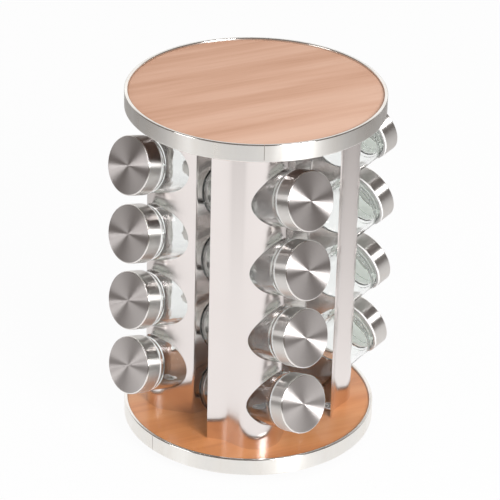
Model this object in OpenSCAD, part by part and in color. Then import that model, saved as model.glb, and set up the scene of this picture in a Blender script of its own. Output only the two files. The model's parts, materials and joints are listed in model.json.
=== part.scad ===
// Rotating rack for sixteen spice jars.
// Two round boards in steel bands are joined by four bent steel columns. Each column
// carries four jars, and the rack turns on a low ball turntable.
// Origin: on the turning axis, at the height of the table. +Z is up. Column a faces -Y.
// The jars of a column lean back against the panel of the column beside it.

/* [Boards] */
// Diameter over the steel band of each board
rack_d = 190; // [180:1:200]
// Thickness of each wooden board
board_t = 10.5; // [8:0.5:14]
// Rise from the upper edge of the lower band to the upper edge of the upper band
rim_rise = 255.5; // [250:0.5:275]
// Thickness of the steel of the bands
band_t = 0.8; // [0.6:0.1:1.2]
// Width of the lips that fold over a board's edge, measured from the outside
lip_w = 2.5; // [2:0.1:4]
// Thickness of the folded lips
lip_t = 1.5; // [1:0.1:2]
// Radius of the rounded edges of the bands
lip_r = 0.7; // [0.3:0.1:0.9]
// Width of the butt seam in each band
seam_w = 0.4; // [0.2:0.1:0.8]
// Direction of the seam of the upper band, counter-clockwise from +X
top_seam_a = 274; // [0:1:359]
// Direction of the seam of the lower band, counter-clockwise from +X
base_seam_a = 222; // [0:1:359]

/* [Columns] */
// Thickness of the column sheet
sheet_t = 1; // [0.8:0.1:1.2]
// Outer radius of the rounded nose
nose_r = 20; // [19:0.5:21]
// Sideways place of the centre of the nose
nose_x = 5.3; // [4:0.1:7]
// Distance of the centre of the nose in front of the turning axis
nose_y = 58; // [56:0.5:59]
// Turn of the nose from its front line to the flange, degrees
nose_flange_a = 37; // [32:1:42]
// Turn of the nose from its front line to the side wall, degrees
nose_wall_a = 77; // [72:1:82]
// Straight length of the flange beside the nose
flange_len = 10; // [8:0.5:12]
// Outer radius of the hollow curve of the flange
curl_r = 20; // [16:1:26]
// Turn of the hollow curve of the flange, degrees
curl_a = 28; // [22:1:32]
// Straight length at the free edge of the flange
edge_len = 6.5; // [4:0.5:8]
// Length of the side wall
wall_len = 20; // [19:0.5:22]
// Outer radius of the bend between side wall and panel
bend_r = 4; // [3:0.5:5]
// Turn of the bend between side wall and panel, degrees
bend_a = 49; // [46:1:52]
// Distance of the inner edge of the panel from the turning axis
panel_stop = 9; // [8:0.5:14]

/* [Fixing tabs] */
// Width of a tab
tab_w = 9; // [8:0.5:11]
// Length of a tab from the outer face of the sheet to the centre of its round end
tab_len = 6; // [5.5:0.1:7]
// Place of the flange tab, as a turn along the hollow curve, degrees
tab_curl_a = 8; // [4:1:14]
// Distance of the panel tab from the turning axis
tab_panel_d = 24; // [20:1:30]

/* [Screws] */
// Diameter of a screw's shank
screw_d = 3; // [2.5:0.1:3.2]
// Length of a screw under its head
screw_len = 7; // [5:0.5:8]
// Diameter of a screw's head
head_d = 5.6; // [5:0.1:6]
// Height of a screw's head
head_h = 1.4; // [1:0.1:1.4]
// Height of the upright rim of a screw's head
head_rim_h = 0.6; // [0.4:0.1:0.8]
// Diameter of the flat top of a screw's head
head_top_d = 3.7; // [3:0.1:4.5]

/* [Jars] */
// Jars in one column
rows = 4; // [1:1:4]
// Height of the lowest jars' centre line above the base board, nearest to the turning axis
low_row_rise = 21; // [20.5:0.1:24]
// Distance from one row to the next
row_pitch = 55; // [50:0.5:57]
// Distance at which the centre line of a jar passes the turning axis
jar_offset = 33; // [32:0.1:34]
// Direction of the centre lines of the jars in column a, clockwise from +X, degrees
jar_a = 46.2; // [45:0.1:48]
// Upward tilt of the jars, degrees
jar_tilt = 15.9; // [14:0.1:17]
// Length of a jar with its cap
jar_len = 95.5; // [90:0.5:98]
// Outer radius of the glass
glass_r = 20.5; // [19.5:0.1:20.6]
// Wall of the glass
glass_t = 2.2; // [1.8:0.1:3]
// Thickness of the bottom of the glass
glass_bottom_t = 4; // [3:0.5:6]
// Radius of the rounded bottom edge of the glass
glass_edge_r = 3; // [2:0.5:4]
// Outer radius of the neck of the glass
neck_r = 18.6; // [17.8:0.1:18.8]
// Length of the shoulder between neck and body
shoulder_len = 3; // [2:0.5:5]
// Distance along a jar's centre line from which its hole in the column is cut
hole_from = 19; // [15:1:25]

/* [Caps] */
// Outer radius of the steel cap
cap_r = 21.7; // [21.5:0.1:22]
// Depth of the steel cap
cap_depth = 12.2; // [11:0.1:13]
// Thickness of the steel of the cap
cap_t = 0.5; // [0.4:0.1:0.6]
// Radius of the cap's rounded edge
cap_edge_r = 1; // [0.6:0.1:1.4]
// Length of the liner's ring that stands out of the steel
liner_out = 1.3; // [1:0.1:2]
// Thickness of the liner's disc
liner_disc_t = 1; // [0.8:0.1:1.4]
// Thickness of the liner's skirt
liner_t = 1.8; // [1.2:0.1:1.9]

/* [Turntable] */
// Diameter of the foot
foot_d = 140; // [130:1:150]
// Thickness of the plate of the foot
foot_t = 2; // [1.8:0.1:2.4]
// Height of the pads under the foot
pad_h = 1; // [0.9:0.1:1.4]
// Diameter of the pads under the foot
pad_d = 14; // [10:1:18]
// Distance of the pads from the edge of the foot
pad_inset = 1; // [0.5:0.5:10]
// Diameter of the turning plate
plate_d = 124; // [120:1:130]
// Thickness of the turning plate
plate_t = 2.6; // [2.5:0.1:2.8]
// Diameter of a bearing ball
ball_d = 4; // [3.8:0.1:4.2]
// Number of bearing balls
ball_n = 16; // [12:1:24]
// Radius of the ball track
track_r = 50; // [46:1:52]
// Depth of the ball track in the foot
track_deep = 1; // [0.8:0.1:1.2]
// Gap between the foot and the turning plate
race_gap = 1.9; // [1.6:0.1:2.4]
// Radius of the hub of the turning plate
hub_r = 5; // [4:0.5:7]
// Width of the rim that snaps under the foot, beyond the hub
snap_w = 1.5; // [1:0.1:2]
// Thickness of the rim that snaps under the foot
snap_t = 0.6; // [0.4:0.1:0.7]
// Radius of the ring on which the turning plate's screws stand
plate_screw_r = 36; // [30:1:40]

/* [Fits] */
// Clearance between the edge of a board and its band
board_gap = 0.1; // [0.05:0.05:0.3]
// Radial clearance between the glass and its hole in a column
hole_gap = 0.7; // [0.6:0.05:1]
// Rise of the holes over the centre lines of the jars, so that the jars lie low in them
hole_lift = 0.4; // [0.2:0.05:0.4]
// Gap between the bottom edge of a jar and the panel that stops it
seat_gap = 0.3; // [0.2:0.05:0.5]
// Gap between the mouth of a jar and the liner's disc
mouth_gap = 0.2; // [0.1:0.05:0.4]
// Gap between the liner's ring and the shoulder of the glass
shoulder_gap = 0.4; // [0.2:0.1:0.8]
// Radial clearance between a steel cap and its liner
liner_gap = 0.05; // [0.02:0.01:0.1]
// Radial clearance of a screw in its hole
screw_gap = 0.1; // [0.05:0.05:0.2]
// Clearance round the heads of the turning plate's screws
head_gap = 0.2; // [0.1:0.05:0.3]
// Radial clearance of the hub in the foot
hub_gap = 0.05; // [0.02:0.01:0.1]
// Gap between the snap rim and the underside of the foot
snap_gap = 0.1; // [0.05:0.05:0.15]
// Clearance round a bearing ball
ball_gap = 0.1; // [0.05:0.01:0.15]
// Clearance on each side of a bearing ball in its track
track_gap = 0.2; // [0.1:0.05:0.4]

/* [Hidden] */
COLUMNS = ["a", "b", "c", "d"];
$fn = 96;
cut = 1;
quarter = 90;
full_turn = 360;
corner_step = 15;
bend_step = 4;

// Heights of the boards. The base board lies on the turning plate.
band_h = board_t + 2 * lip_t;
plate_z = pad_h + foot_t + race_gap;
band_z = plate_z + plate_t - lip_t;
base_rim_z = band_z + band_h;
base_top_z = base_rim_z - lip_t;
top_rim_z = base_rim_z + rim_rise;
top_under_z = top_rim_z - band_h + lip_t;
column_h = top_under_z - base_top_z;
board_r = rack_d / 2 - band_t - board_gap;

// Points and directions in plan: walk() moves a point, arc_points() follows an arc
function dir(a) = [cos(a), sin(a)];
function walk(p, a, d) = p + d * dir(a);
function arc_points(c, r, a0, a1, step = corner_step) =
    let (n = ceil(abs(a1 - a0) / step))
    [for (i = [0 : n]) walk(c, a0 + (a1 - a0) * i / n, r)];

// Outline of the outer face of column a, from the nose to the free edge and to the panel.
// The turns of the nose are measured from its front line.
nose_c = [nose_x, -nose_y];
flange_dir = -quarter - nose_flange_a - quarter;
flange_p = walk(nose_c, -quarter - nose_flange_a, nose_r);
curl_p = walk(flange_p, flange_dir, flange_len);
curl_c = walk(curl_p, flange_dir + quarter, curl_r);
edge_dir = flange_dir + curl_a;
edge_p = walk(curl_c, edge_dir - quarter, curl_r);
edge_end = walk(edge_p, edge_dir, edge_len);
wall_dir = nose_wall_a;
wall_p = walk(nose_c, nose_wall_a - quarter, nose_r);
bend_p = walk(wall_p, wall_dir, wall_len);
bend_c = walk(bend_p, wall_dir + quarter, bend_r);
panel_dir = wall_dir + bend_a;
panel_p = walk(bend_c, panel_dir - quarter, bend_r);
panel_n = dir(panel_dir - quarter);
panel_off = panel_p * panel_n;
panel_start = -panel_p * dir(panel_dir);
panel_end = walk(panel_p, panel_dir, panel_start - panel_stop);

// Line of the sheet at a depth t under its outer face, from the free edge to the panel's end
function sheet_line(t) = concat(
    [walk(edge_end, edge_dir - quarter, t)],
    arc_points(curl_c, curl_r + t, edge_dir - quarter, flange_dir - quarter, bend_step),
    arc_points(nose_c, nose_r - t, -quarter - nose_flange_a, nose_wall_a - quarter, bend_step),
    arc_points(bend_c, bend_r - t, wall_dir - quarter, panel_dir - quarter, bend_step),
    [walk(panel_end, panel_dir + quarter, t)]);

// Tabs and their screws, in the frame of column a
screw_hole_r = screw_d / 2 + screw_gap;
curl_tab_p = walk(curl_c, flange_dir + tab_curl_a - quarter, curl_r);
curl_tab_a = flange_dir + tab_curl_a - quarter;
panel_tab_p = walk(panel_p, panel_dir, panel_start - tab_panel_d);
panel_tab_a = panel_dir + quarter;
tab_screws = [walk(curl_tab_p, curl_tab_a, tab_len), walk(panel_tab_p, panel_tab_a, tab_len)];

// Place of a jar along its centre line: its rounded bottom edge stops seat_gap short of
// the panel of the neighbouring column
seat_n = panel_dir - 2 * quarter + jar_a;
seat_cos = cos(jar_tilt) * cos(seat_n);
seat_sin = sqrt(1 - seat_cos * seat_cos);
seat_reach = panel_off + seat_gap + glass_edge_r + (glass_r - glass_edge_r) * seat_sin;
jar_bottom = (seat_reach + jar_offset * sin(seat_n)) / seat_cos - glass_edge_r;
cap_face = jar_bottom + jar_len;
mouth = cap_face - cap_t - liner_disc_t - mouth_gap;
liner_end = cap_face - cap_depth - liner_out;
shoulder = liner_end - shoulder_gap;
hole_r = glass_r + hole_gap;
function row_z(r) = base_top_z + low_row_rise + row_pitch * (rows - r);

// Heights inside the turntable
track_z = pad_h + foot_t - track_deep;
ball_z = track_z + ball_gap + ball_d / 2;
pocket_top = ball_z + ball_d / 2 + ball_gap;
plate_head_z = plate_z + head_gap + head_h;
hub_end = pad_h - snap_gap - snap_t;

module at_column(c) {
    rotate([0, 0, quarter * c]) children();
}

module on_jar_axis(c, r) {
    rotate([0, 0, quarter * c - jar_a])
        translate([0, -jar_offset, row_z(r)])
            rotate([0, quarter - jar_tilt, 0])
                children();
}

// Steel band, folded over both faces of its board and butted at a seam
module band(z, seam_a) {
    outer = rack_d / 2;
    inner = outer - band_t;
    lip = outer - lip_w;
    top = z + band_h;
    section = concat(
        arc_points([outer - lip_r, z + lip_r], lip_r, -quarter, 0),
        arc_points([outer - lip_r, top - lip_r], lip_r, 0, quarter),
        arc_points([lip + lip_r, top - lip_r], lip_r, quarter, 2 * quarter),
        [[lip, top - lip_t], [inner, top - lip_t], [inner, z + lip_t], [lip, z + lip_t]],
        arc_points([lip + lip_r, z + lip_r], lip_r, 2 * quarter, 3 * quarter));
    difference() {
        rotate_extrude($fn = 180) polygon(section);
        rotate([0, 0, seam_a])
            translate([outer - lip_w - cut, -seam_w / 2, z - cut])
                cube([lip_w + 2 * cut, seam_w, band_h + 2 * cut]);
    }
}

// Wooden disc with pilot holes for the tab screws, which start at hole_z
module board(z, hole_z) {
    difference() {
        translate([0, 0, z]) cylinder(r = board_r, h = board_t, $fn = 180);
        for (c = [0 : 3])
            at_column(c)
                for (p = tab_screws)
                    translate([p.x, p.y, hole_z])
                        cylinder(r = screw_hole_r, h = screw_len, $fn = 24);
        children();
    }
}

module base_board() {
    color("burlywood")
        board(base_top_z - board_t, base_top_z + sheet_t - screw_gap - screw_len)
            plate_holes();
}

module top_board() {
    color("burlywood")
        board(top_under_z, top_under_z - sheet_t + screw_gap);
}

module base_band() {
    color("silver") band(band_z, base_seam_a);
}

module top_band() {
    color("silver") band(top_rim_z - band_h, top_seam_a);
}

// Four places between the columns, at a distance d from the axis and a height z
module at_diagonals(d, z) {
    for (i = [0 : 3])
        rotate([0, 0, quarter * i + quarter / 2])
            translate([d, 0, z])
                children();
}

// Holes for the turning plate's screws, through the plate and into the base board
module plate_holes() {
    at_diagonals(plate_screw_r, plate_z - cut)
        cylinder(r = screw_hole_r, h = plate_head_z - plate_z + screw_len + screw_gap + cut, $fn = 24);
}

// Fixing tab that is bent inwards from the end of the sheet
module tab(p, a, z) {
    translate([p.x, p.y, z])
        rotate([0, 0, a])
            difference() {
                union() {
                    translate([sheet_t / 2, -tab_w / 2, 0])
                        cube([tab_len - sheet_t / 2, tab_w, sheet_t]);
                    translate([tab_len, 0, 0]) cylinder(d = tab_w, h = sheet_t, $fn = 48);
                }
                translate([tab_len, 0, -cut]) cylinder(r = screw_hole_r, h = sheet_t + 2 * cut, $fn = 24);
            }
}

// The whole bent sheet of column a, without its holes
module column_sheet() {
    outside = sheet_line(0);
    inside = sheet_line(sheet_t);
    last = len(inside) - 1;
    translate([0, 0, base_top_z])
        linear_extrude(height = column_h)
            polygon(concat(outside, [for (i = [0 : last]) inside[last - i]]));
}

// Column with its slanted jar holes and its four fixing tabs
module column(c) {
    color("gainsboro")
        at_column(c) {
            difference() {
                column_sheet();
                for (r = [1 : rows])
                    on_jar_axis(0, r)
                        translate([-hole_lift, 0, hole_from])
                            cylinder(r = hole_r, h = jar_len, $fn = 120);
            }
            for (z = [base_top_z, top_under_z - sheet_t]) {
                tab(curl_tab_p, curl_tab_a, z);
                tab(panel_tab_p, panel_tab_a, z);
            }
        }
}

// Glass jar with a rounded bottom edge, a thick bottom and a short neck
module jar(c, r) {
    inner_r = glass_r - glass_t;
    neck_in_r = neck_r - glass_t;
    floor = jar_bottom + glass_bottom_t;
    neck_start = shoulder - shoulder_len;
    section = concat(
        [[0, jar_bottom]],
        arc_points([glass_r - glass_edge_r, jar_bottom + glass_edge_r], glass_edge_r, -quarter, 0),
        arc_points([glass_r - shoulder_len / 2, neck_start], shoulder_len / 2, 0, quarter),
        [[neck_r, neck_start + shoulder_len / 2], [neck_r, mouth], [neck_in_r, mouth]],
        [[neck_in_r, neck_start], [inner_r, neck_start - shoulder_len]],
        arc_points([inner_r - glass_edge_r, floor + glass_edge_r], glass_edge_r, 0, -quarter),
        [[0, floor]]);
    color("lightcyan", 0.4)
        on_jar_axis(c, r)
            rotate_extrude() polygon(section);
}

// Spun steel cap
module cap(c, r) {
    section = concat(
        [[0, cap_face]],
        arc_points([cap_r - cap_edge_r, cap_face - cap_edge_r], cap_edge_r, quarter, 0),
        [[cap_r, cap_face - cap_depth], [cap_r - cap_t, cap_face - cap_depth]],
        arc_points([cap_r - cap_edge_r, cap_face - cap_edge_r], cap_edge_r - cap_t, 0, quarter),
        [[0, cap_face - cap_t]]);
    color("silver")
        on_jar_axis(c, r)
            rotate_extrude() polygon(section);
}

// Plastic liner of the cap, whose end shows as a ring between steel and glass
module liner(c, r) {
    skirt_r = cap_r - cap_t - liner_gap;
    top = cap_face - cap_t;
    bevel = cap_edge_r;
    section = [
        [0, top],
        [skirt_r - bevel, top],
        [skirt_r, top - bevel],
        [skirt_r, liner_end],
        [skirt_r - liner_t, liner_end],
        [skirt_r - liner_t, top - liner_disc_t],
        [0, top - liner_disc_t]];
    color("white")
        on_jar_axis(c, r)
            rotate_extrude() polygon(section);
}

// Screw whose head rests on z = 0 and whose shank points down
module screw() {
    head_r = head_d / 2;
    translate([0, 0, -screw_len]) cylinder(d = screw_d, h = screw_len, $fn = 24);
    rotate_extrude($fn = 48)
        polygon([[0, 0], [head_r, 0], [head_r, head_rim_h], [head_top_d / 2, head_h], [0, head_h]]);
}

// Sixteen screws in the columns' tabs and four under the turning plate
module fixing_screws() {
    color("dimgray") {
        for (c = [0 : 3])
            at_column(c)
                for (p = tab_screws) {
                    translate([p.x, p.y, base_top_z + sheet_t]) screw();
                    translate([p.x, p.y, top_under_z - sheet_t]) mirror([0, 0, 1]) screw();
                }
        at_diagonals(plate_screw_r, plate_head_z) mirror([0, 0, 1]) screw();
    }
}

// Turning plate, screwed under the base board; its hub snaps into the foot
module turning_plate() {
    color("dimgray")
        difference() {
            union() {
                translate([0, 0, plate_z]) cylinder(d = plate_d, h = plate_t);
                translate([0, 0, hub_end]) cylinder(r = hub_r, h = plate_z - hub_end);
                translate([0, 0, hub_end]) cylinder(r = hub_r + snap_w, h = snap_t);
            }
            plate_holes();
            at_diagonals(plate_screw_r, plate_z - cut)
                cylinder(d = head_d + 2 * head_gap, h = plate_head_z - plate_z + cut, $fn = 48);
            at_balls(plate_z - cut)
                cylinder(d = ball_d + 2 * ball_gap, h = pocket_top - plate_z + cut, $fn = 32);
        }
}

// Places of the balls, in a ring at a height z
module at_balls(z) {
    for (i = [0 : ball_n - 1])
        rotate([0, 0, full_turn * i / ball_n])
            translate([track_r, 0, z])
                children();
}

// Balls that are held in the pockets of the turning plate and roll in the track
module bearing_balls() {
    color("lightgray") at_balls(ball_z) sphere(d = ball_d, $fn = 32);
}

// Foot with four pads and a flat-bottomed track for the balls
module foot() {
    track_w = ball_d + 2 * track_gap;
    color("dimgray")
        difference() {
            union() {
                translate([0, 0, pad_h]) cylinder(d = foot_d, h = foot_t);
                at_diagonals(foot_d / 2 - pad_d / 2 - pad_inset, 0)
                    cylinder(d = pad_d, h = pad_h, $fn = 64);
            }
            translate([0, 0, track_z])
                difference() {
                    cylinder(r = track_r + track_w / 2, h = foot_t);
                    translate([0, 0, -cut]) cylinder(r = track_r - track_w / 2, h = foot_t + 2 * cut);
                }
            translate([0, 0, pad_h - cut]) cylinder(r = hub_r + hub_gap, h = foot_t + 2 * cut);
        }
}

base_board();
base_band();
top_board();
top_band();
for (c = [0 : 3]) {
    column(c);
    for (r = [1 : rows]) {
        jar(c, r);
        cap(c, r);
        liner(c, r);
    }
}
fixing_screws();
turning_plate();
bearing_balls();
foot();
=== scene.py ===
# %% [markdown]
# A turning rack for sixteen spice jars.
#
# Two round wooden boards in satin steel bands are joined by four columns of bent sheet steel.
# Every column carries four glass jars with spun steel caps, and the whole rack turns on a low
# ball turntable. The construction comes as a fixed frame of named parts. This lesson dresses
# that frame: it models the pieces whose curves show, and it gives each surface its finish.

# %% Load the fixed frame
import json
import math
import random
import bpy
from mathutils import Matrix, Vector

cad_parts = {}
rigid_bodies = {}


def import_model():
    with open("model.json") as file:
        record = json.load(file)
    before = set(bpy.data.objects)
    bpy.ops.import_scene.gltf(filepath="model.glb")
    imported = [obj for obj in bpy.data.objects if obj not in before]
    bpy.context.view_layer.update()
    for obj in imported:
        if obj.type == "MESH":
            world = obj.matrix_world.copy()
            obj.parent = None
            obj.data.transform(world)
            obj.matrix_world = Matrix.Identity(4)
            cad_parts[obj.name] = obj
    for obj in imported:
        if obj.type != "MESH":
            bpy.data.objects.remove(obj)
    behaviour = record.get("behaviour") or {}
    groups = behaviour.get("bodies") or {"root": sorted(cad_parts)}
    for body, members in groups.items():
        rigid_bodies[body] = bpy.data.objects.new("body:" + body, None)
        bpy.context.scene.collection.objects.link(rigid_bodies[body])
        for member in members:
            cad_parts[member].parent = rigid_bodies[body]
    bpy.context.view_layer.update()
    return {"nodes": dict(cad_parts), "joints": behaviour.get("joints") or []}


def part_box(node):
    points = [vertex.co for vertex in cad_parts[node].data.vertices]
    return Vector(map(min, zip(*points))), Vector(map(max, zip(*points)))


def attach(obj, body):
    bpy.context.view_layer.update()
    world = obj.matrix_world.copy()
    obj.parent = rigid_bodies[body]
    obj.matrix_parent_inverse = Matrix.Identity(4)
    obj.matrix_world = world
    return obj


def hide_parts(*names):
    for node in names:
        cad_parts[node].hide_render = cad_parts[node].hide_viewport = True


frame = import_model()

AXES = {joint["name"]: Vector(joint["axis"]) for joint in frame["joints"]}

# %% [markdown]
# The camera comes first, because every choice of finish is judged through it. The photograph
# was taken with a long lens, from in front and from well above. The place and the lens were
# found by fitting the rims of both boards, which are true circles on the real rack.

# %% Camera
CAMERA_PLACE = Vector((0.0, -1.68457, 1.02978))
CAMERA_DOWN = math.radians(27.748)
CAMERA_TURN = math.radians(0.052)
CAMERA_ROLL = math.radians(1.444)
CAMERA_LENS = 184.28
RIGHT_ANGLE = math.radians(90)

camera = bpy.data.objects.new("camera", bpy.data.cameras.new("camera"))
bpy.context.scene.collection.objects.link(camera)
bpy.context.scene.camera = camera
camera.data.lens = CAMERA_LENS
camera.location = CAMERA_PLACE
camera.rotation_euler = (
    Matrix.Rotation(CAMERA_TURN, 3, "Z")
    @ Matrix.Rotation(RIGHT_ANGLE - CAMERA_DOWN, 3, "X")
    @ Matrix.Rotation(CAMERA_ROLL, 3, "Z")
).to_euler()
print("camera", round(CAMERA_PLACE.length, 2), "m from the foot of the rack")

# %% [markdown]
# Shaders are built from nodes. These small helpers join sockets, do sums, and draw a ramp of
# colours, so that each finish further down reads like a recipe.

# %% Node helpers
def link(tree, source, target):
    """Joins one socket to another."""
    tree.links.new(source, target)


def feed(tree, socket, value):
    """Gives a socket a value, which is another socket, a number or a colour."""
    if isinstance(value, bpy.types.NodeSocket):
        link(tree, value, socket)
    elif socket.type == "RGBA":
        socket.default_value = (*value, 1.0)
    else:
        socket.default_value = value


def sum_node(tree, operation, *values, clamp=False):
    """A Math node fed with numbers or sockets. Returns its output."""
    node = tree.nodes.new("ShaderNodeMath")
    node.operation = operation
    node.use_clamp = clamp
    for socket, value in zip(node.inputs, values):
        feed(tree, socket, value)
    return node.outputs[0]


def blend(tree, mask, first, second):
    """Mixes two colours by a mask."""
    node = tree.nodes.new("ShaderNodeMix")
    node.data_type = "RGBA"
    feed(tree, node.inputs["Factor"], mask)
    feed(tree, node.inputs["A"], first)
    feed(tree, node.inputs["B"], second)
    return node.outputs["Result"]


def between(tree, mask, low, high, start=0.0, end=1.0):
    """Maps a mask from start..end to low..high."""
    node = tree.nodes.new("ShaderNodeMapRange")
    feed(tree, node.inputs["Value"], mask)
    for label, value in (("From Min", start), ("From Max", end), ("To Min", low), ("To Max", high)):
        node.inputs[label].default_value = value
    return node.outputs["Result"]


def ramp(tree, mask, stops):
    """A Color Ramp through (place, colour) stops."""
    node = tree.nodes.new("ShaderNodeValToRGB")
    marks = node.color_ramp.elements
    while len(marks) < len(stops):
        marks.new(1.0)
    for mark, (place, colour) in zip(marks, stops):
        mark.position = place
        mark.color = (*colour, 1.0)
    feed(tree, node.inputs["Fac"], mask)
    return node.outputs["Color"]


def ray_is(tree, *kinds):
    """1 for light rays of the named kinds, such as "Camera" or "Glossy", and 0 for others."""
    path = tree.nodes.new("ShaderNodeLightPath")
    total = 0.0
    for kind in kinds:
        total = sum_node(tree, "ADD", total, path.outputs[f"Is {kind} Ray"], clamp=True)
    return total


print("node helpers ready")

# %% [markdown]
# The rack stands on white paper in a darker room. To the camera and through the glass everything
# round it is plain white. In every mirror only the paper and the backdrop are white, and the
# rest of the room is a warm dark grey. Without that dark, polished steel looks like paper itself.
# Glass deep inside the rack sees the room too, because the way to it leads over mirrors. For
# diffuse light the world is dimmer, so that the lamps can shape the wood.

# %% World
DIFFUSE_LEVEL = 0.72
ROOM_DARK = (0.150, 0.132, 0.122)
PAPER_WHITE = (1.01, 0.995, 0.98)
BACKDROP_FADE = (0.35, 0.75)
CLEAR_BOUNCES = 8.5


def sees_room(tree):
    """1 for a ray that a mirror sends out, or that has bounced more often than two jars ask for.

    A ray bent by glass counts as glossy too, so the transmitted ones are taken off.
    """
    path = tree.nodes.new("ShaderNodeLightPath").outputs
    mirrored = sum_node(tree, "SUBTRACT", path["Is Glossy Ray"], path["Is Transmission Ray"], clamp=True)
    deep = sum_node(tree, "GREATER_THAN", path["Ray Depth"], CLEAR_BOUNCES)
    return sum_node(tree, "MAXIMUM", mirrored, deep)


bpy.context.scene.view_settings.view_transform = "Standard"
world = bpy.data.worlds.new("white_studio")
bpy.context.scene.world = world
world.use_nodes = True
sky = world.node_tree
sky.nodes.clear()
direction = sky.nodes.new("ShaderNodeSeparateXYZ")
link(sky, sky.nodes.new("ShaderNodeTexCoord").outputs["Generated"], direction.inputs[0])
backdrop = between(sky, direction.outputs["Y"], 0.0, 1.0, *BACKDROP_FADE)
room = blend(sky, backdrop, ROOM_DARK, PAPER_WHITE)
shown = sky.nodes.new("ShaderNodeBackground")
link(sky, blend(sky, sees_room(sky), (1, 1, 1), room), shown.inputs["Color"])
lighting = sky.nodes.new("ShaderNodeBackground")
lighting.inputs["Strength"].default_value = DIFFUSE_LEVEL
choose = sky.nodes.new("ShaderNodeMixShader")
link(sky, ray_is(sky, "Camera", "Glossy", "Transmission"), choose.inputs["Fac"])
link(sky, lighting.outputs[0], choose.inputs[1])
link(sky, shown.outputs[0], choose.inputs[2])
link(sky, choose.outputs[0], sky.nodes.new("ShaderNodeOutputWorld").inputs["Surface"])
print("white world, diffuse level", DIFFUSE_LEVEL)

# %% [markdown]
# Two soft lamps stand in front of the rack. The right one whitens the rims of the boards there,
# and draws the bright fans across the spun caps in front. The left one does the same for the
# caps on that side. Where a fan lies depends on the direction of its lamp alone, so both lamps
# were placed by the fans in the photograph.

# %% Lamps
RACK_MIDDLE = (0.0, 0.0, 0.14)


def lamp(name, place, width, depth, power):
    """A rectangular soft lamp that looks at the middle of the rack."""
    data = bpy.data.lights.new(name, "AREA")
    data.shape = "RECTANGLE"
    data.size = width
    data.size_y = depth
    data.energy = power
    made = bpy.data.objects.new(name, data)
    bpy.context.scene.collection.objects.link(made)
    made.location = place
    made.rotation_euler = (Vector(RACK_MIDDLE) - Vector(place)).to_track_quat("-Z", "Y").to_euler()


lamp("front_right_softbox", (0.95, -1.30, 0.97), width=0.8, depth=0.5, power=24)
lamp("front_left_softbox", (-1.47, -0.85, 0.78), width=0.6, depth=0.5, power=4.2)
print("two soft lamps")

# %% [markdown]
# The floor is a sheet of white paper. It shows white to the camera and through the glass. In the
# metal it is white round the rack and falls off towards the dark room, beside and behind the rack
# sooner than in front. It keeps part of its own shading, so the rack casts a faint soft shadow,
# which the steel shows more of than the camera.

# %% Floor
FLOOR_WIDTH = 6.0
FLOOR_WHITE = (0.86, 0.86, 0.86)
PAPER_ROUGHNESS = 0.9
SHADING_KEPT = 0.05
SHADING_IN_MIRROR = 0.15
BACK_SHARE = 0.75
SIDE_FALL = (0.15, 0.95)
FRONT_FALL = (0.7, 1.8)


def clear_selection():
    """Leaves edit mode and deselects everything."""
    if bpy.context.object and bpy.context.object.mode != "OBJECT":
        bpy.ops.object.mode_set(mode="OBJECT")
    bpy.ops.object.select_all(action="DESELECT")


clear_selection()
bpy.ops.mesh.primitive_plane_add(size=FLOOR_WIDTH)
floor = bpy.context.object
floor.name = "floor"
floor_finish = bpy.data.materials.new("white_floor")
floor_finish.use_nodes = True
tree = floor_finish.node_tree
paper = tree.nodes["Principled BSDF"]
feed(tree, paper.inputs["Base Color"], FLOOR_WHITE)
paper.inputs["Roughness"].default_value = PAPER_ROUGHNESS
spot = tree.nodes.new("ShaderNodeSeparateXYZ")
link(tree, tree.nodes.new("ShaderNodeTexCoord").outputs["Object"], spot.inputs[0])
from_middle = sum_node(tree, "ABSOLUTE", spot.outputs["X"])
aside = sum_node(tree, "MULTIPLY_ADD", spot.outputs["Y"], BACK_SHARE, from_middle)
ahead = between(tree, sum_node(tree, "MULTIPLY", spot.outputs["Y"], -1.0), 1.0, 0.0, *FRONT_FALL)
lit = sum_node(tree, "MULTIPLY", between(tree, aside, 1.0, 0.0, *SIDE_FALL), ahead)
sheet = blend(tree, lit, ROOM_DARK, PAPER_WHITE)
in_mirror = sees_room(tree)
glow = tree.nodes.new("ShaderNodeEmission")
link(tree, blend(tree, in_mirror, (1, 1, 1), sheet), glow.inputs["Color"])
mix = tree.nodes.new("ShaderNodeMixShader")
seen = ray_is(tree, "Camera", "Glossy", "Transmission")
flat = between(tree, in_mirror, 1 - SHADING_KEPT, 1 - SHADING_IN_MIRROR)
link(tree, sum_node(tree, "MULTIPLY", seen, flat), mix.inputs["Fac"])
link(tree, paper.outputs[0], mix.inputs[1])
link(tree, glow.outputs[0], mix.inputs[2])
link(tree, mix.outputs[0], tree.nodes["Material Output"].inputs["Surface"])
floor.data.materials.append(floor_finish)
print("floor", FLOOR_WIDTH, "m wide")

# %% [markdown]
# Two effects return in nearly every finish, so each becomes a node group with named sockets.
# "Grooves" are the fine marks that a brush or a spinning tool leaves: one noise, drawn out
# along one direction. "Handling" is the cloudy variation that every touched surface shows.

# %% Effect groups
def noise(tree, vector, scale, detail=2.0, roughness=0.5):
    """A Noise Texture read at vector."""
    node = tree.nodes.new("ShaderNodeTexNoise")
    for label, value in (("Vector", vector), ("Scale", scale), ("Detail", detail), ("Roughness", roughness)):
        feed(tree, node.inputs[label], value)
    return node.outputs["Fac"]


def stretched(tree, vector, factors):
    """Multiplies a vector by factors, one for each direction."""
    node = tree.nodes.new("ShaderNodeVectorMath")
    node.operation = "MULTIPLY"
    feed(tree, node.inputs[0], vector)
    feed(tree, node.inputs[1], factors)
    return node.outputs[0]


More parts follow.
